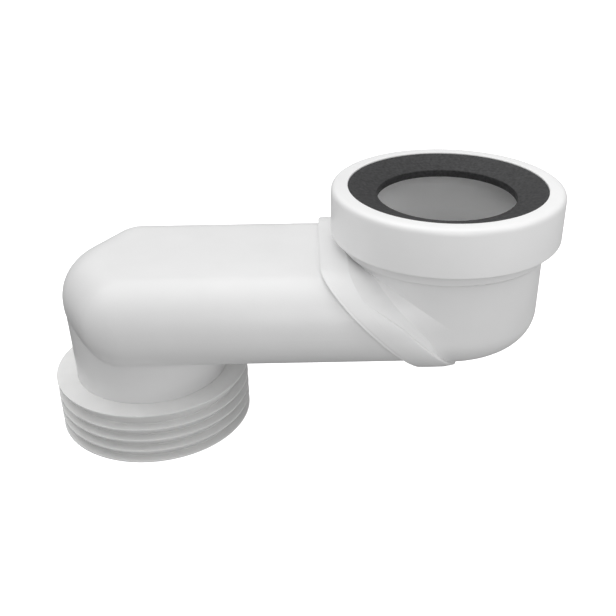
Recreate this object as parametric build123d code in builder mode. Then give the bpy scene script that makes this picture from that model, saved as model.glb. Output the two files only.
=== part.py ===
from build123d import *
import os
import math

# Spigot, neck and finned sleeve
fin_radius = 56.0
fin_depth = 6.0
fin_pitch = 7.2
fin_count = 4
fin_land = 1.0
flange_pitch = 9.0
foot_rounding = 0.4
sleeve_wall = 6.0
sleeve_end = 3.0
neck_draft = 1.0
wall = 3.0

# Flattened arm and its nose
axis_offset = 169.0
arm_overhang = 0.5
arm_height = 49.8
arm_underside = 21.8
edge_flat = 0.9
corner_margin = 1.0
nose_angle = 60.0
nose_step = 1.5
crease_rounding = 4.5

# Slanted joint between arm and elbow
joint_setback = 40.8
collar_width = 18.0
collar_proud = 3.5
runout_length = 11.0
runout_sink = 0.6
socket_depth = 8.0

# Upright elbow and its cup
elbow_inset = 2.5
heel_radius = 18.0
collar_to_ring = 7.4
shoulder_drop = 7.0
shoulder_rounding = 0.8
cup_step = 3.0
cup_wall = 2.7
snap_proud = 2.5
snap_height = 3.0

# Retaining ring
ring_height = 26.0
ring_wall = 3.1
ring_roof = 4.0
ring_lip = 3.5
ring_clearance = 0.2
ring_rounding = 3.5
ring_foot_rounding = 1.0
mouth_overlap = 0.7

# Pan seal
seal_flange = 3.0
lip_radius = 37.5
lip_drop = 4.8
lip_edge = 4.2
lip_recess = 0.5
lip_relief = 8.0

# Sizes that follow from those above
fin_root = fin_radius - fin_depth
neck_radius = fin_root - sleeve_wall
neck_bore = neck_radius - wall
sleeve_length = flange_pitch + (fin_count - 1) * fin_pitch + fin_land
spigot_length = sleeve_length - sleeve_end
arm_width = 2 * (fin_radius + arm_overhang)
arm_edge_radius = arm_height / 2 - edge_flat
arm_mid = arm_underside + arm_height / 2
arm_top = arm_underside + arm_height
nose_radius = neck_radius + nose_step
elbow_radius = arm_width / 2 - elbow_inset
elbow_bore = elbow_radius - wall
stub_start = axis_offset - joint_setback - arm_height
ring_base = arm_top + collar_proud + collar_to_ring
rim_height = ring_base + ring_height
roof_underside = rim_height - ring_roof
shoulder_height = ring_base - shoulder_drop
snap_base = ring_base + ring_lip
cup_radius = elbow_radius + cup_step
cup_bore = cup_radius - cup_wall
cup_rim = roof_underside - seal_flange
snap_radius = cup_radius + snap_proud
ring_bore = snap_radius + ring_clearance
ring_radius = ring_bore + ring_wall
ring_lip_bore = cup_radius + ring_clearance
mouth_radius = cup_bore - mouth_overlap
seal_top = rim_height - lip_recess
lip_top = seal_top - lip_drop
mouth_plane = Plane(
    origin=(axis_offset - joint_setback, 0, arm_mid),
    x_dir=(0, 1, 0),
    z_dir=(1, 0, 1),
)
stop_plane = mouth_plane.offset(socket_depth)
collar_end_plane = mouth_plane.offset(collar_width)
joint_axis = Axis((0, 0, 0), (1, 0, 1))


def rim_edges(solid):
    """Edges round the top and round the underside, lowest first, without the flat cut end."""
    straight = solid.edges().filter_by(GeomType.LINE).filter_by(Axis.Z, reverse=True)
    curved = solid.edges().filter_by(GeomType.CIRCLE)
    return (straight.filter_by(Axis.Y, reverse=True) + curved).group_by(Axis.Z)


def arm_form(inset):
    """Flattened arm with its three-sided nose, drawn in all round by the inset."""
    half = arm_width / 2 - inset
    nose = nose_radius - inset
    lean = math.radians(nose_angle)
    corner = (half - nose * math.cos(lean)) / math.tan(lean) - nose * math.sin(lean)
    edge_radius = arm_edge_radius - inset
    with BuildPart() as form:
        with BuildSketch(Plane.XY.offset(arm_underside + inset)) as plan:
            with BuildLine():
                tip = CenterArc((0, 0), nose, 90 + nose_angle, 180 - 2 * nose_angle)
                Polyline(
                    tip @ 0,
                    (corner, half),
                    (axis_offset, half),
                    (axis_offset, -half),
                    (corner, -half),
                    tip @ 1,
                )
            make_face()
            bends = plan.vertices().filter_by_position(Axis.X, corner - 0.1, corner + 0.1)
            fillet(bends, edge_radius + corner_margin)
        extrude(amount=arm_height - 2 * inset)
        fillet(rim_edges(form)[-1], edge_radius)
        fillet(rim_edges(form)[0], edge_radius)
    return form.part


def elbow_form(inset):
    """Flattened stub that rounds under the upright cup, drawn in all round by the inset."""
    half = elbow_radius - inset
    with BuildPart() as form:
        with BuildSketch(Plane.XY.offset(arm_underside + inset)):
            with BuildLine():
                heel = CenterArc((axis_offset, 0), half, -90, 180)
                Polyline(heel @ 1, (stub_start, half), (stub_start, -half), heel @ 0)
            make_face()
        extrude(amount=arm_height - 2 * inset)
        fillet(rim_edges(form)[-1], arm_edge_radius - inset)
        fillet(rim_edges(form)[0], heel_radius - inset)
    return form.part


def slanted_band(growth, first, last):
    """Slice of the arm's section, grown all round, between two slanted planes."""
    with BuildPart() as band:
        with BuildSketch(Plane.YZ.offset(stub_start)):
            with Locations((0, arm_mid)):
                RectangleRounded(
                    arm_width + 2 * growth,
                    arm_height + 2 * growth,
                    arm_edge_radius + growth,
                )
        extrude(amount=2 * (joint_setback + arm_height))
        split(bisect_by=first, keep=Keep.TOP)
        split(bisect_by=last, keep=Keep.BOTTOM)
    return band.part


def turned(centre, *outline):
    """Ring or column turned from a radius and height outline about an upright axis."""
    with BuildPart() as body:
        with BuildSketch(Plane.XZ):
            with BuildLine():
                Polyline(*[(centre + radius, height) for radius, height in outline], close=True)
            make_face()
        revolve(axis=Axis((centre, 0, 0), (0, 0, 1)))
    return body.part


arm_outside = arm_form(0)
arm_hollow = arm_form(wall)
neck_outside = turned(
    0,
    (0, -spigot_length),
    (neck_radius, -spigot_length),
    (neck_radius, 0),
    (neck_radius + neck_draft, arm_mid),
    (0, arm_mid),
)
neck_inside = turned(
    0,
    (0, -spigot_length),
    (neck_bore, -spigot_length),
    (neck_bore, arm_mid),
    (0, arm_mid),
)

# Outside of the arm and the neck, with the crease between them softened
with BuildPart() as arm_body:
    add(arm_outside)
    add(neck_outside)
    fillet(new_edges(arm_outside, neck_outside, combined=arm_body.part), crease_rounding)

# Flattened arm, three-sided nose and the plain spigot under it
with BuildPart() as offset_arm:
    add(arm_body.part)
    add(arm_hollow, mode=Mode.SUBTRACT)
    add(neck_inside, mode=Mode.SUBTRACT)
    split(bisect_by=stop_plane, keep=Keep.BOTTOM)

elbow_outside = elbow_form(0)
elbow_hollow = elbow_form(wall)
upright_outside = turned(
    axis_offset,
    (0, arm_mid),
    (elbow_radius, arm_mid),
    (elbow_radius, shoulder_height),
    (cup_radius, shoulder_height),
    (cup_radius, snap_base),
    (snap_radius, snap_base),
    (snap_radius, snap_base + snap_height / 2),
    (cup_radius, snap_base + snap_height),
    (cup_radius, cup_rim),
    (0, cup_rim),
)
upright_inside = turned(
    axis_offset,
    (0, arm_mid),
    (elbow_bore, arm_mid),
    (elbow_bore, shoulder_height),
    (cup_bore, snap_base + snap_height),
    (cup_bore, cup_rim),
    (0, cup_rim),
)
collar_outside = slanted_band(collar_proud, mouth_plane, collar_end_plane)
arm_pocket = slanted_band(0, mouth_plane, stop_plane)

# Upright body with the edge of its shoulder eased
with BuildPart() as upright:
    add(upright_outside)
    shoulder = edges().filter_by_position(Axis.Z, shoulder_height - 0.1, shoulder_height + 0.1)
    fillet(shoulder.sort_by(SortBy.RADIUS)[-1], shoulder_rounding)

# Slanted collar that runs out smoothly into the elbow
with BuildPart() as collar:
    add(collar_outside)
    inner_end = faces().sort_by(joint_axis)[-1]
    runout_depth = collar_proud + elbow_inset + runout_sink
    chamfer(inner_end.edges(), runout_depth, runout_length, reference=inner_end)

# Elbow with the slanted collar and the cup under the seal
with BuildPart() as socket_elbow:
    add(elbow_outside)
    add(upright.part)
    split(bisect_by=mouth_plane, keep=Keep.TOP)
    add(collar.part)
    add(elbow_hollow, mode=Mode.SUBTRACT)
    add(upright_inside, mode=Mode.SUBTRACT)
    add(arm_pocket, mode=Mode.SUBTRACT)

ring_turned = turned(
    axis_offset,
    (ring_lip_bore, ring_base),
    (ring_radius, ring_base),
    (ring_radius, rim_height),
    (mouth_radius, rim_height),
    (mouth_radius, roof_underside),
    (ring_bore, roof_underside),
    (ring_bore, snap_base),
    (ring_lip_bore, snap_base),
)

# Ring that snaps over the cup and clamps the seal
with BuildPart() as retaining_ring:
    add(ring_turned)
    fillet(edges().group_by(Axis.Z)[-1].sort_by(SortBy.RADIUS)[-1], ring_rounding)
    fillet(edges().group_by(Axis.Z)[0].sort_by(SortBy.RADIUS)[-1], ring_foot_rounding)

# Funnel seal with its flange between the cup's rim and the ring
pan_seal = turned(
    axis_offset,
    (snap_radius, cup_rim),
    (snap_radius, roof_underside),
    (mouth_radius, roof_underside),
    (mouth_radius, seal_top),
    (lip_radius, lip_top),
    (lip_radius, lip_top - lip_edge),
    (lip_radius + lip_relief, cup_rim),
)

fins = []
for index in range(fin_count):
    tip = -flange_pitch - index * fin_pitch
    fins += [(fin_root, tip), (fin_radius, tip), (fin_radius, tip - fin_land)]
sleeve_turned = turned(
    0,
    (neck_radius, 0),
    (fin_radius, 0),
    (fin_radius, -fin_land),
    *fins,
    (neck_bore, -sleeve_length),
    (neck_bore, -spigot_length),
    (neck_radius, -spigot_length),
)

# Soft sleeve with a flange and barbed fins
with BuildPart() as finned_sleeve:
    add(sleeve_turned)
    fillet(edges().group_by(Axis.Z)[0].sort_by(SortBy.RADIUS)[-1], foot_rounding)

offset_arm.part.label = "offset_arm"
socket_elbow.part.label = "socket_elbow"
retaining_ring.part.label = "retaining_ring"
pan_seal.label = "pan_seal"
finned_sleeve.part.label = "finned_sleeve"

os.makedirs("parts", exist_ok=True)
export_step(offset_arm.part, "parts/offset_arm.step")
export_step(socket_elbow.part, "parts/socket_elbow.step")
export_step(retaining_ring.part, "parts/retaining_ring.step")
export_step(pan_seal, "parts/pan_seal.step")
export_step(finned_sleeve.part, "parts/finned_sleeve.step")
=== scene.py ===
"""Studio scene of an offset toilet pan connector, dressed over its solid model."""

import logging
import math
from dataclasses import dataclass, replace
from enum import Enum

import bmesh
import bpy
from mathutils import Matrix, Vector


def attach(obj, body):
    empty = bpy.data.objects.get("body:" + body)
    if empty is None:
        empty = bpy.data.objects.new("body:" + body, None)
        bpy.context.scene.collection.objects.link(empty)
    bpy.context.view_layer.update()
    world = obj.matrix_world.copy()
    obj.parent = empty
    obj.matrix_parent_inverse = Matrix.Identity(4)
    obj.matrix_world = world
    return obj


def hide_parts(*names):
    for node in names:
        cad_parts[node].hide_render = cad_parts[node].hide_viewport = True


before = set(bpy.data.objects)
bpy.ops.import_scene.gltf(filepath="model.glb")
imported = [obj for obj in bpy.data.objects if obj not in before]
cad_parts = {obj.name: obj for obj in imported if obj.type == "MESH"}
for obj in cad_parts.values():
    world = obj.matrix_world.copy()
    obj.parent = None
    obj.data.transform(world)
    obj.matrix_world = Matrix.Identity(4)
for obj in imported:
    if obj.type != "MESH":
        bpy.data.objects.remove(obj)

LOG = logging.getLogger("pan_connector")
MM = 0.001
ROOT = "root"

# Steps of the turned pieces, and the share of a side that a rounded corner may take
ROUND_STEPS = 256
CORNER_STEPS = 6
CORNER_REACH = 0.48

# Part of the noise that the finishes use, and its octaves
NOISE_LOW = 0.3
NOISE_HIGH = 0.7
GLOSS_DETAIL = 3.0
GRAIN_DETAIL = 2.0

# Picture and sensor that the camera is set for
FRAME_PIXELS = 616.0
SENSOR_WIDTH = 36.0

# Sizes that the ring and the seal share, in millimetres
SOCKET_AXIS = 169.0
MOUTH_RADIUS = 53.6
ROOF_UNDERSIDE = 104.5

Point = tuple[float, float]
Corner = tuple[float, float, float]
Colour = tuple[float, float, float]
Place = tuple[float, float, float]
Direction = tuple[float, float, float]
Station = tuple[Vector, Vector]


class Slot(Enum):
    """Material slots of the record."""

    WHITE_PLASTIC = "white_plastic"
    WHITE_RUBBER = "white_rubber"
    DARK_RUBBER = "dark_rubber"


class Node(Enum):
    """Solids of the model that the scene dresses."""

    ARM = "offset_arm"
    ELBOW = "socket_elbow"
    RING = "retaining_ring"
    SEAL = "pan_seal"
    SLEEVE = "finned_sleeve"


class Side(Enum):
    """Sides of the arm's section, by their direction across."""

    FRONT = -1.0
    BACK = 1.0


class Edge(Enum):
    """Top and underside of the arm's section, by their direction up."""

    TOP = 1.0
    UNDERSIDE = -1.0


@dataclass(frozen=True)
class Finish:
    """Surface of one material, with its mottle, its gloss and its fine texture.

    Sizes are in metres and scales in repeats per metre.
    """

    title: str
    dark: Colour
    light: Colour
    mottle_scale: float
    mottle_detail: float
    gloss_low: float
    gloss_high: float
    gloss_scale: float
    grain_scale: float
    grain_depth: float
    grain_strength: float
    specular: float = 0.5
    glow: float = 0.0

    def material(self) -> bpy.types.Material:
        """Make the node material for this finish.

        Returns:
            The new material.
        """
        made = bpy.data.materials.new(self.title)
        made.use_nodes = True
        tree = made.node_tree
        shader = tree.nodes["Principled BSDF"]
        shader.inputs["Specular IOR Level"].default_value = self.specular
        shader.inputs["Emission Strength"].default_value = self.glow
        shader.inputs["Emission Color"].default_value = (*self.light, 1.0)
        place = tree.nodes.new("ShaderNodeTexCoord")
        self._paint(tree, shader, place)
        self._polish(tree, shader, place)
        self._texture(tree, shader, place)
        return made

    def _noise(
        self,
        tree: bpy.types.NodeTree,
        place: bpy.types.Node,
        scale: float,
        detail: float,
    ) -> bpy.types.Node:
        """Add a noise texture in the object's own space.

        Args:
            tree: Node tree of the material.
            place: Texture coordinate node.
            scale: Repeats per metre.
            detail: Octaves of finer noise.

        Returns:
            The noise node.
        """
        noise = tree.nodes.new("ShaderNodeTexNoise")
        noise.inputs["Scale"].default_value = scale
        noise.inputs["Detail"].default_value = detail
        tree.links.new(place.outputs["Object"], noise.inputs["Vector"])
        return noise

    def _paint(self, tree: bpy.types.NodeTree, shader: bpy.types.Node, place: bpy.types.Node) -> None:
        """Link the mottled colour to the shader.

        Args:
            tree: Node tree of the material.
            shader: Surface shader.
            place: Texture coordinate node.
        """
        noise = self._noise(tree, place, self.mottle_scale, self.mottle_detail)
        ramp = tree.nodes.new("ShaderNodeValToRGB")
        low, high = ramp.color_ramp.elements
        low.position = NOISE_LOW
        low.color = (*self.dark, 1.0)
        high.position = NOISE_HIGH
        high.color = (*self.light, 1.0)
        tree.links.new(noise.outputs["Fac"], ramp.inputs["Fac"])
        tree.links.new(ramp.outputs["Color"], shader.inputs["Base Color"])

    def _polish(self, tree: bpy.types.NodeTree, shader: bpy.types.Node, place: bpy.types.Node) -> None:
        """Link the uneven gloss to the shader.

        Args:
            tree: Node tree of the material.
            shader: Surface shader.
            place: Texture coordinate node.
        """
        noise = self._noise(tree, place, self.gloss_scale, GLOSS_DETAIL)
        span = tree.nodes.new("ShaderNodeMapRange")
        span.inputs["From Min"].default_value = NOISE_LOW
        span.inputs["From Max"].default_value = NOISE_HIGH
        span.inputs["To Min"].default_value = self.gloss_low
        span.inputs["To Max"].default_value = self.gloss_high
        tree.links.new(noise.outputs["Fac"], span.inputs["Value"])
        tree.links.new(span.outputs["Result"], shader.inputs["Roughness"])

    def _texture(self, tree: bpy.types.NodeTree, shader: bpy.types.Node, place: bpy.types.Node) -> None:
        """Link the fine moulded texture to the shader.

        Args:
            tree: Node tree of the material.
            shader: Surface shader.
            place: Texture coordinate node.
        """
        noise = self._noise(tree, place, self.grain_scale, GRAIN_DETAIL)
        bump = tree.nodes.new("ShaderNodeBump")
        bump.inputs["Strength"].default_value = self.grain_strength
        bump.inputs["Distance"].default_value = self.grain_depth
        tree.links.new(noise.outputs["Fac"], bump.inputs["Height"])
        tree.links.new(bump.outputs["Normal"], shader.inputs["Normal"])


MOULDED_WHITE = Finish(
    title="moulded_white",
    dark=(0.81, 0.81, 0.81),
    light=(0.83, 0.83, 0.83),
    mottle_scale=45.0,
    mottle_detail=3.0,
    gloss_low=0.34,
    gloss_high=0.44,
    gloss_scale=60.0,
    grain_scale=900.0,
    grain_depth=0.00006,
    grain_strength=0.35,
)
# Lighter copy of the moulded white for the ring: painted light, standing in for the stronger light that
# falls on the ring
RING_WHITE_PAINTED_LIGHT = replace(
    MOULDED_WHITE,
    title="ring_white_painted_light",
    dark=(0.87, 0.87, 0.87),
    light=(0.89, 0.89, 0.89),
)
SOFT_WHITE = Finish(
    title="soft_white",
    dark=(0.775, 0.775, 0.77),
    light=(0.82, 0.82, 0.815),
    mottle_scale=60.0,
    mottle_detail=4.0,
    gloss_low=0.48,
    gloss_high=0.60,
    gloss_scale=80.0,
    grain_scale=1200.0,
    grain_depth=0.00008,
    grain_strength=0.4,
)
DARK_RUBBER = Finish(
    title="seal_rubber",
    dark=(0.019, 0.019, 0.0197),
    light=(0.044, 0.044, 0.0455),
    mottle_scale=620.0,
    mottle_detail=3.0,
    gloss_low=0.52,
    gloss_high=0.64,
    gloss_scale=420.0,
    grain_scale=1500.0,
    grain_depth=0.0001,
    grain_strength=0.5,
    specular=0.3,
)
PALE_FLOOR = Finish(
    title="pale_floor",
    dark=(0.89, 0.89, 0.89),
    light=(0.91, 0.91, 0.91),
    mottle_scale=4.0,
    mottle_detail=2.0,
    gloss_low=0.85,
    gloss_high=0.95,
    gloss_scale=6.0,
    grain_scale=200.0,
    grain_depth=0.00005,
    grain_strength=0.1,
    specular=0.2,
    glow=1.0,
)


def eased(corners: list[Corner]) -> list[Point]:
    """Round the corners of a closed outline.

    Args:
        corners: Radius, height and rounding of each corner, in millimetres.

    Returns:
        Points of the outline, in millimetres.
    """
    points: list[Point] = []
    for index, (radius, height, rounding) in enumerate(corners):
        here = Vector((radius, height))
        before = Vector(corners[index - 1][:2]) - here
        after = Vector(corners[(index + 1) % len(corners)][:2]) - here
        room = CORNER_REACH * min(before.length, after.length)
        reach = min(rounding / math.tan(before.angle(after) / 2), room)
        start = here + before.normalized() * reach
        end = here + after.normalized() * reach
        for step in range(CORNER_STEPS + 1):
            share = step / CORNER_STEPS
            point = start * (1 - share) ** 2 + here * 2 * share * (1 - share) + end * share**2
            points.append((point.x, point.y))
    return points


def join_loops(
    work: bmesh.types.BMesh,
    near: list[bmesh.types.BMVert],
    far: list[bmesh.types.BMVert],
) -> None:
    """Skin the strip between two closed loops.

    Args:
        work: Working mesh.
        near: Vertices of the first loop.
        far: Vertices of the next loop, in the same order.
    """
    for index in range(len(near)):
        after = (index + 1) % len(near)
        work.faces.new((near[index], far[index], far[after], near[after]))


def mesh_piece(name: str, work: bmesh.types.BMesh) -> bpy.types.Object:
    """Make an object of a working mesh, which is used up.

    Args:
        name: Name of the object.
        work: Working mesh, in metres.

    Returns:
        The new mesh object.
    """
    mesh = bpy.data.meshes.new(name)
    work.to_mesh(mesh)
    work.free()
    piece = bpy.data.objects.new(name, mesh)
    bpy.context.collection.objects.link(piece)
    return piece


def turned_ring(name: str, outline: list[Point], centre: float) -> bpy.types.Object:
    """Turn a closed outline about an upright axis.

    Args:
        name: Name of the piece.
        outline: Radius and height points, in millimetres.
        centre: Place of the axis along X, in millimetres.

    Returns:
        The new mesh object.
    """
    work = bmesh.new()
    loops: list[list[bmesh.types.BMVert]] = []
    for step in range(ROUND_STEPS):
        angle = 2 * math.pi * step / ROUND_STEPS
        loop = []
        for radius, height in outline:
            along = centre + radius * math.cos(angle)
            across = radius * math.sin(angle)
            loop.append(work.verts.new((along * MM, across * MM, height * MM)))
        loops.append(loop)
    for near, far in zip(loops, loops[1:] + loops[:1]):
        join_loops(work, near, far)
    bmesh.ops.recalc_face_normals(work, faces=work.faces)
    return mesh_piece(name, work)


def shade_by_angle(piece: bpy.types.Object, degrees: float) -> None:
    """Smooth a mesh except across edges sharper than an angle.

    Args:
        piece: Mesh object to shade.
        degrees: Sharpest angle that still shades smoothly.
    """
    bpy.ops.object.select_all(action="DESELECT")
    piece.select_set(True)
    bpy.context.view_layer.objects.active = piece
    bpy.ops.object.shade_smooth_by_angle(angle=math.radians(degrees))


def dress(piece: bpy.types.Object, finish: Finish) -> None:
    """Give a piece one finish.

    Args:
        piece: Mesh object to dress.
        finish: Surface to give it.
    """
    made = bpy.data.materials.get(finish.title) or finish.material()
    piece.data.materials.clear()
    piece.data.materials.append(made)


def seat(piece: bpy.types.Object, node: Node) -> None:
    """Attach a new piece to the root body and hide the solid that it stands for.

    Args:
        piece: New mesh object.
        node: Solid it replaces.
    """
    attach(piece, ROOT)
    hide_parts(node.value)


@dataclass
class Mouldings:
    """Arm and elbow, shown as their own solids."""

    finish: Finish = MOULDED_WHITE
    nodes: tuple[Node, ...] = (Node.ARM, Node.ELBOW)

    def build(self) -> list[bpy.types.Object]:
        """Dress the two mouldings.

        Returns:
            The dressed solids.
        """
        pieces = [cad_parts[node.value] for node in self.nodes]
        for piece in pieces:
            dress(piece, self.finish)
        return pieces


@dataclass
class CollarBand:
    """Land of the slanted collar, with the small step that ends it towards the elbow.

    Depths run along the joint from the collar's mouth, and growths outwards from the arm's section.
    Sizes are in millimetres.
    """

    mouth_x: float = 128.2
    middle: float = 46.7
    side_centre: float = 32.5
    edge_centre: float = 0.9
    corner: float = 24.0
    proud: float = 3.55
    start: float = 1.2
    edge_run: float = 0.4
    edge_drop: float = 0.15
    level_depth: float = 5.0
    droop: float = 0.014
    reach: float = 13.0
    short_reach: float = 7.4
    taper_low: float = 50.0
    taper_high: float = 70.5
    brow_run: float = 0.12
    brow_drop: float = 0.06
    step_drop: float = 0.3
    step_lean: float = 0.05
    step_sink: float = 0.6
    runout_start: float = 7.0
    runout_growth: float = 3.5
    runout_slope: float = 0.6
    root: float = 1.0
    corner_steps: int = 28
    flat_steps: int = 8
    land_steps: int = 10
    smooth_angle: float = 35.0
    finish: Finish = MOULDED_WHITE

    def rounded_corner(self, quarter: int, side: Side, edge: Edge) -> list[Station]:
        """Points round one corner of the arm's section.

        Args:
            quarter: Quarter turns, counted from straight back over the top, to the corner's start.
            side: Side of the arm that the corner is on.
            edge: Whether it is at the top or at the underside.

        Returns:
            Place across and up, and outward direction, of each point.
        """
        across = side.value * self.side_centre
        up = self.middle + edge.value * self.edge_centre
        centre = Vector((across, up))
        found: list[Station] = []
        for step in range(self.corner_steps + 1):
            angle = math.pi / 2 * (quarter + step / self.corner_steps)
            outward = Vector((math.cos(angle), math.sin(angle)))
            found.append((centre + outward * self.corner, outward))
        return found

    def stations(self) -> list[Station]:
        """Points along the arm's section, from the top of the front to the top of the back.

        Returns:
            Place across and up, and outward direction, of each point.
        """
        front = self.rounded_corner(1, Side.FRONT, Edge.TOP)
        front += self.rounded_corner(2, Side.FRONT, Edge.UNDERSIDE)
        back = self.rounded_corner(3, Side.BACK, Edge.UNDERSIDE)
        back += self.rounded_corner(4, Side.BACK, Edge.TOP)
        here, outward = front[-1]
        underside: list[Station] = []
        for step in range(1, self.flat_steps):
            across = Vector((2 * self.side_centre * step / self.flat_steps, 0.0))
            underside.append((here + across, outward))
        return front + underside + back

    def land(self, depth: float) -> float:
        """Growth of the land at a depth."""
        return self.proud - self.droop * max(0.0, depth - self.level_depth) ** 2

    def end_depth(self, height: float) -> float:
        """Depth at which the land ends, shorter towards the top of the arm."""
        share = min(max((height - self.taper_low) / (self.taper_high - self.taper_low), 0.0), 1.0)
        return self.reach - (self.reach - self.short_reach) * share * share * (3 - 2 * share)

    def section(self, height: float) -> list[Point]:
        """Outline of the band at one height.

        Args:
            height: Height of the arm's section there, in millimetres.

        Returns:
            Depth and growth of each point, in millimetres.
        """
        end = self.end_depth(height)
        foot = self.runout_growth - self.runout_slope * (end - self.runout_start)
        mouth = self.start - self.edge_run
        last = end - self.edge_run
        points = [(mouth, self.proud - self.edge_drop)]
        for step in range(self.land_steps + 1):
            depth = self.start + (last - self.start) * step / self.land_steps
            points.append((depth, self.land(depth)))
        points += [
            (end - self.brow_run, self.land(end) - self.brow_drop),
            (end, self.land(end) - self.step_drop),
            (end + self.step_lean, foot - self.step_sink),
            (end / 2, self.root),
            (mouth, self.root),
        ]
        return points

    def build(self) -> bpy.types.Object:
        """Make and dress the band.

        Returns:
            The band.
        """
        work = bmesh.new()
        loops: list[list[bmesh.types.BMVert]] = []
        for base, outward in self.stations():
            loop = []
            for depth, growth in self.section(base.y):
                place = base + outward * growth
                along = self.mouth_x + math.sqrt(2) * depth - (place.y - self.middle)
                loop.append(work.verts.new((along * MM, place.x * MM, place.y * MM)))
            loops.append(loop)
        for near, far in zip(loops, loops[1:]):
            join_loops(work, near, far)
        work.faces.new(loops[0])
        work.faces.new(loops[-1])
        bmesh.ops.recalc_face_normals(work, faces=work.faces)
        piece = mesh_piece("collar_band", work)
        shade_by_angle(piece, self.smooth_angle)
        dress(piece, self.finish)
        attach(piece, ROOT)
        return piece


@dataclass
class RetainingRing:
    """Broad ring that snaps over the cup, in millimetres."""

    centre: float = SOCKET_AXIS
    outer: float = 62.8
    mouth: float = MOUTH_RADIUS
    cup: float = 59.7
    lip: float = 57.2
    base: float = 82.5
    ledge: float = 86.0
    under_roof: float = ROOF_UNDERSIDE
    top: float = 108.5
    rounding: float = 3.5
    foot_rounding: float = 1.0
    lip_rounding: float = 0.3
    mouth_rounding: float = 0.5
    inner_rounding: float = 0.2
    smooth_angle: float = 40.0
    finish: Finish = RING_WHITE_PAINTED_LIGHT

    def outline(self) -> list[Corner]:
        """Corners of the ring's section with their rounding.

        Returns:
            Radius, height and rounding of each corner, in millimetres.
        """
        return [
            (self.lip, self.base, self.lip_rounding),
            (self.outer, self.base, self.foot_rounding),
            (self.outer, self.top, self.rounding),
            (self.mouth, self.top, self.mouth_rounding),
            (self.mouth, self.under_roof, self.inner_rounding),
            (self.cup, self.under_roof, self.inner_rounding),
            (self.cup, self.ledge, self.inner_rounding),
            (self.lip, self.ledge, self.inner_rounding),
        ]

    def build(self) -> bpy.types.Object:
        """Make and dress the ring.

        Returns:
            The ring.
        """
        piece = turned_ring("seal_ring", eased(self.outline()), self.centre)
        shade_by_angle(piece, self.smooth_angle)
        dress(piece, self.finish)
        seat(piece, Node.RING)
        return piece


@dataclass
class PanSeal:
    """Rubber funnel that grips the pan's outlet, in millimetres."""

    centre: float = SOCKET_AXIS
    outer: float = 59.5
    mouth: float = MOUTH_RADIUS
    lip: float = 37.5
    under_roof: float = ROOF_UNDERSIDE
    rim: float = 101.5
    top: float = 108.0
    lip_top: float = 103.2
    lip_edge: float = 4.2
    relief: float = 8.0
    flange_rounding: float = 0.3
    mouth_rounding: float = 0.2
    top_rounding: float = 0.4
    lip_rounding: float = 0.7
    underside_rounding: float = 0.5
    smooth_angle: float = 50.0
    finish: Finish = DARK_RUBBER

    def outline(self) -> list[Corner]:
        """Corners of the seal's section with their rounding.

        Returns:
            Radius, height and rounding of each corner, in millimetres.
        """
        return [
            (self.outer, self.rim, self.flange_rounding),
            (self.outer, self.under_roof, self.flange_rounding),
            (self.mouth, self.under_roof, self.mouth_rounding),
            (self.mouth, self.top, self.top_rounding),
            (self.lip, self.lip_top, self.lip_rounding),
            (self.lip, self.lip_top - self.lip_edge, self.underside_rounding),
            (self.lip + self.relief, self.rim, self.underside_rounding),
        ]

    def build(self) -> bpy.types.Object:
        """Make and dress the seal.

        Returns:
            The seal.
        """
        piece = turned_ring("funnel_seal", eased(self.outline()), self.centre)
        shade_by_angle(piece, self.smooth_angle)
        dress(piece, self.finish)
        seat(piece, Node.SEAL)
        return piece


@dataclass
class FinnedSleeve:
    """Soft sleeve with a flange and barbed fins round the spigot, in millimetres."""

    centre: float = 0.0
    fin: float = 56.0
    root: float = 50.0
    inner: float = 44.0
    bore: float = 41.0
    first_fin: float = 9.0
    pitch: float = 7.2
    count: int = 4
    land: float = 1.0
    foot_wall: float = 3.0
    edge: float = 0.35
    root_rounding: float = 0.6
    foot_rounding: float = 0.5
    inner_rounding: float = 0.2
    smooth_angle: float = 40.0
    finish: Finish = SOFT_WHITE

    def outline(self) -> list[Corner]:
        """Corners of the sleeve's section with their rounding.

        Returns:
            Radius, height and rounding of each corner, in millimetres.
        """
        corners: list[Corner] = [
            (self.inner, 0.0, self.edge),
            (self.fin, 0.0, self.edge),
            (self.fin, -self.land, self.edge),
        ]
        for index in range(self.count):
            tip = -self.first_fin - index * self.pitch
            corners.append((self.root, tip, self.root_rounding))
            corners.append((self.fin, tip, self.edge))
            corners.append((self.fin, tip - self.land, self.edge))
        foot = -self.first_fin - (self.count - 1) * self.pitch - self.land
        corners += [
            (self.bore, foot, self.foot_rounding),
            (self.bore, foot + self.foot_wall, self.inner_rounding),
            (self.inner, foot + self.foot_wall, self.inner_rounding),
        ]
        return corners

    def build(self) -> bpy.types.Object:
        """Make and dress the sleeve.

        Returns:
            The sleeve.
        """
        piece = turned_ring("fin_sleeve", eased(self.outline()), self.centre)
        shade_by_angle(piece, self.smooth_angle)
        dress(piece, self.finish)
        seat(piece, Node.SLEEVE)
        return piece


@dataclass(frozen=True)
class SurroundStop:
    """Brightness of the surround at one height.

    The rise is the upward part of a unit direction, from -1 below to 1 overhead.
    """

    rise: float
    strength: float


@dataclass(frozen=True)
class Lamp:
    """Round soft light aimed at the ring, in millimetres and watts."""

    title: str
    place: Place
    power: float
    target: Place = (169.0, 0.0, 80.0)
    width: float = 300.0


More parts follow.
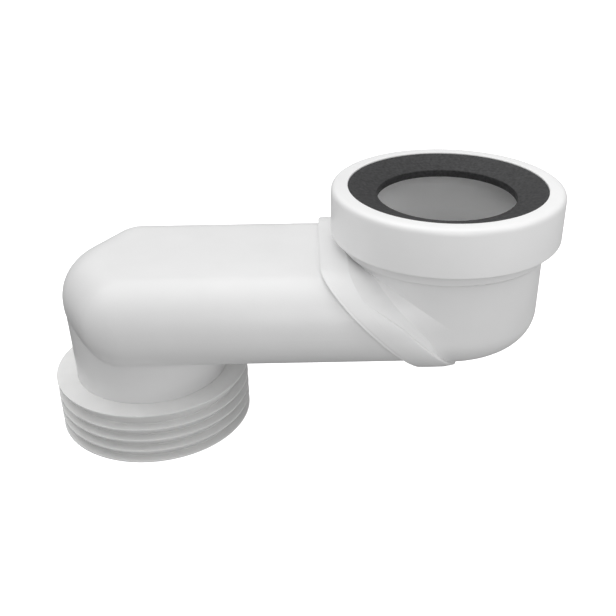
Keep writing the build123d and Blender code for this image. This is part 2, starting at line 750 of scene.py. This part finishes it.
@dataclass
class Studio:
    """Floor, lights and camera, in millimetres, degrees and pixels of the photograph's frame."""

    floor_height: float = -31.65
    floor_reach: float = 6000.0
    floor_sides: int = 64
    floor_tiers: int = 32
    camera_place: Place = (91.405, -432.027, 270.869)
    elevation: float = 28.76
    azimuth: float = -0.6
    roll: float = -0.76
    focal_pixels: float = 850.47
    axis_pixels: Point = (313.19, 308.58)
    near_limit: float = 10.0
    surround: tuple[SurroundStop, ...] = (
        SurroundStop(-1.0, 0.178),
        SurroundStop(-0.5, 0.433),
        SurroundStop(-0.15, 0.396),
        SurroundStop(0.1, 0.238),
        SurroundStop(0.35, 0.283),
        SurroundStop(0.65, 0.759),
        SurroundStop(1.0, 1.550),
    )
    lean: Direction = (-1.4, 1.0, 0.0)
    lamps: tuple[Lamp, ...] = (
        Lamp(title="front_lamp", place=(170.0, -450.0, 250.0), power=0.509),
        Lamp(title="right_lamp", place=(500.0, -150.0, 350.0), power=0.467),
    )
    finish: Finish = PALE_FLOOR

    def lay_floor(self) -> bpy.types.Object:
        """Make the pale floor, which rises far away into a plain backdrop all round.

        Returns:
            The floor.
        """
        work = bmesh.new()
        bmesh.ops.create_uvsphere(
            work,
            u_segments=self.floor_sides,
            v_segments=self.floor_tiers,
            radius=self.floor_reach * MM,
        )
        bmesh.ops.reverse_faces(work, faces=work.faces)
        for vert in work.verts:
            vert.co.z = max(vert.co.z, self.floor_height * MM)
        floor = mesh_piece("floor", work)
        floor.visible_diffuse = False
        floor.visible_glossy = False
        floor.visible_shadow = False
        dress(floor, self.finish)
        return floor

    def light(self) -> None:
        """Set the soft surround and the lamps."""
        self.wrap()
        for lamp in self.lamps:
            self.hang(lamp)
        bpy.context.scene.view_settings.view_transform = "Standard"

    def wrap(self) -> None:
        """Set a plain surround, graded by height, that leans one way above and the other way below."""
        world = bpy.data.worlds.new("studio")
        world.use_nodes = True
        bpy.context.scene.world = world
        tree = world.node_tree
        place = tree.nodes.new("ShaderNodeTexCoord")
        split = tree.nodes.new("ShaderNodeSeparateXYZ")
        tree.links.new(place.outputs["Generated"], split.inputs["Vector"])
        self._grade(tree, split)
        self._tilt(tree, place, split)

    def _peak(self) -> float:
        """Brightness of the brightest stop of the surround."""
        return max(stop.strength for stop in self.surround)

    def _grade(self, tree: bpy.types.NodeTree, split: bpy.types.Node) -> None:
        """Grade the surround's colour by height.

        Args:
            tree: Node tree of the surround.
            split: Node that gives the upward part of a direction.
        """
        low = self.surround[0].rise
        high = self.surround[-1].rise
        span = tree.nodes.new("ShaderNodeMapRange")
        span.inputs["From Min"].default_value = low
        span.inputs["From Max"].default_value = high
        ramp = tree.nodes.new("ShaderNodeValToRGB")
        elements = ramp.color_ramp.elements
        for stop in self.surround[1:-1]:
            elements.new((stop.rise - low) / (high - low))
        for element, stop in zip(elements, self.surround):
            level = stop.strength / self._peak()
            element.color = (level, level, level, 1.0)
        tree.links.new(split.outputs["Z"], span.inputs["Value"])
        tree.links.new(span.outputs["Result"], ramp.inputs["Fac"])
        tree.links.new(ramp.outputs["Color"], tree.nodes["Background"].inputs["Color"])

    def _tilt(self, tree: bpy.types.NodeTree, place: bpy.types.Node, split: bpy.types.Node) -> None:
        """Make the surround stronger towards the lean above, and away from it below.

        Args:
            tree: Node tree of the surround.
            place: Texture coordinate node.
            split: Node that gives the upward part of a direction.
        """
        side = tree.nodes.new("ShaderNodeVectorMath")
        side.operation = "DOT_PRODUCT"
        side.inputs[1].default_value = self.lean
        tip = tree.nodes.new("ShaderNodeMath")
        tip.operation = "MULTIPLY"
        swell = tree.nodes.new("ShaderNodeMath")
        swell.operation = "MULTIPLY_ADD"
        swell.inputs[1].default_value = self._peak()
        swell.inputs[2].default_value = self._peak()
        tree.links.new(place.outputs["Generated"], side.inputs[0])
        tree.links.new(side.outputs["Value"], tip.inputs[0])
        tree.links.new(split.outputs["Z"], tip.inputs[1])
        tree.links.new(tip.outputs["Value"], swell.inputs[0])
        tree.links.new(swell.outputs["Value"], tree.nodes["Background"].inputs["Strength"])

    def hang(self, lamp: Lamp) -> bpy.types.Object:
        """Hang one soft light.

        Args:
            lamp: Light to hang.

        Returns:
            The light.
        """
        light = bpy.data.lights.new(lamp.title, type="AREA")
        light.shape = "DISK"
        light.size = lamp.width * MM
        light.energy = lamp.power
        held = bpy.data.objects.new(lamp.title, light)
        held.location = Vector(lamp.place) * MM
        aim = Vector(lamp.target) - Vector(lamp.place)
        held.rotation_euler = aim.to_track_quat("-Z", "Y").to_euler()
        bpy.context.collection.objects.link(held)
        return held

    def camera_pose(self) -> Matrix:
        """Work out where the camera stands and how it is turned.

        Returns:
            The camera's matrix, in metres.
        """
        rise = math.radians(self.elevation)
        turn = math.radians(self.azimuth)
        lean = math.radians(self.roll)
        back = Vector(
            (math.sin(turn) * math.cos(rise), -math.cos(turn) * math.cos(rise), math.sin(rise))
        )
        right = Vector((math.cos(turn), math.sin(turn), 0.0))
        up = back.cross(right)
        right_leant = right * math.cos(lean) + up * math.sin(lean)
        up_leant = up * math.cos(lean) - right * math.sin(lean)
        pose = Matrix((right_leant, up_leant, back)).transposed().to_4x4()
        pose.translation = Vector(self.camera_place) * MM
        return pose

    def aim_camera(self) -> bpy.types.Object:
        """Place the camera at the photograph's angle.

        Returns:
            The camera.
        """
        lens = bpy.data.cameras.new("camera")
        lens.sensor_width = SENSOR_WIDTH
        lens.lens = self.focal_pixels / FRAME_PIXELS * SENSOR_WIDTH
        middle = FRAME_PIXELS / 2
        lens.shift_x = (middle - self.axis_pixels[0]) / FRAME_PIXELS
        lens.shift_y = (self.axis_pixels[1] - middle) / FRAME_PIXELS
        lens.clip_start = self.near_limit * MM
        camera = bpy.data.objects.new("camera", lens)
        camera.matrix_world = self.camera_pose()
        bpy.context.collection.objects.link(camera)
        bpy.context.scene.camera = camera
        return camera


def write_sizes() -> None:
    """Update the view layer; nothing is written.
    """
    bpy.context.view_layer.update()


def main() -> None:
    """Build every piece, then the studio."""
    logging.basicConfig(level=logging.INFO)
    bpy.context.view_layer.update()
    for piece in Mouldings().build():
        LOG.info("dressed %s", piece.name)
    for maker in (CollarBand(), RetainingRing(), PanSeal(), FinnedSleeve()):
        piece = maker.build()
        LOG.info("built %s", piece.name)
    studio = Studio()
    studio.lay_floor()
    studio.light()
    studio.aim_camera()
    write_sizes()


if __name__ == "__main__":
    main()
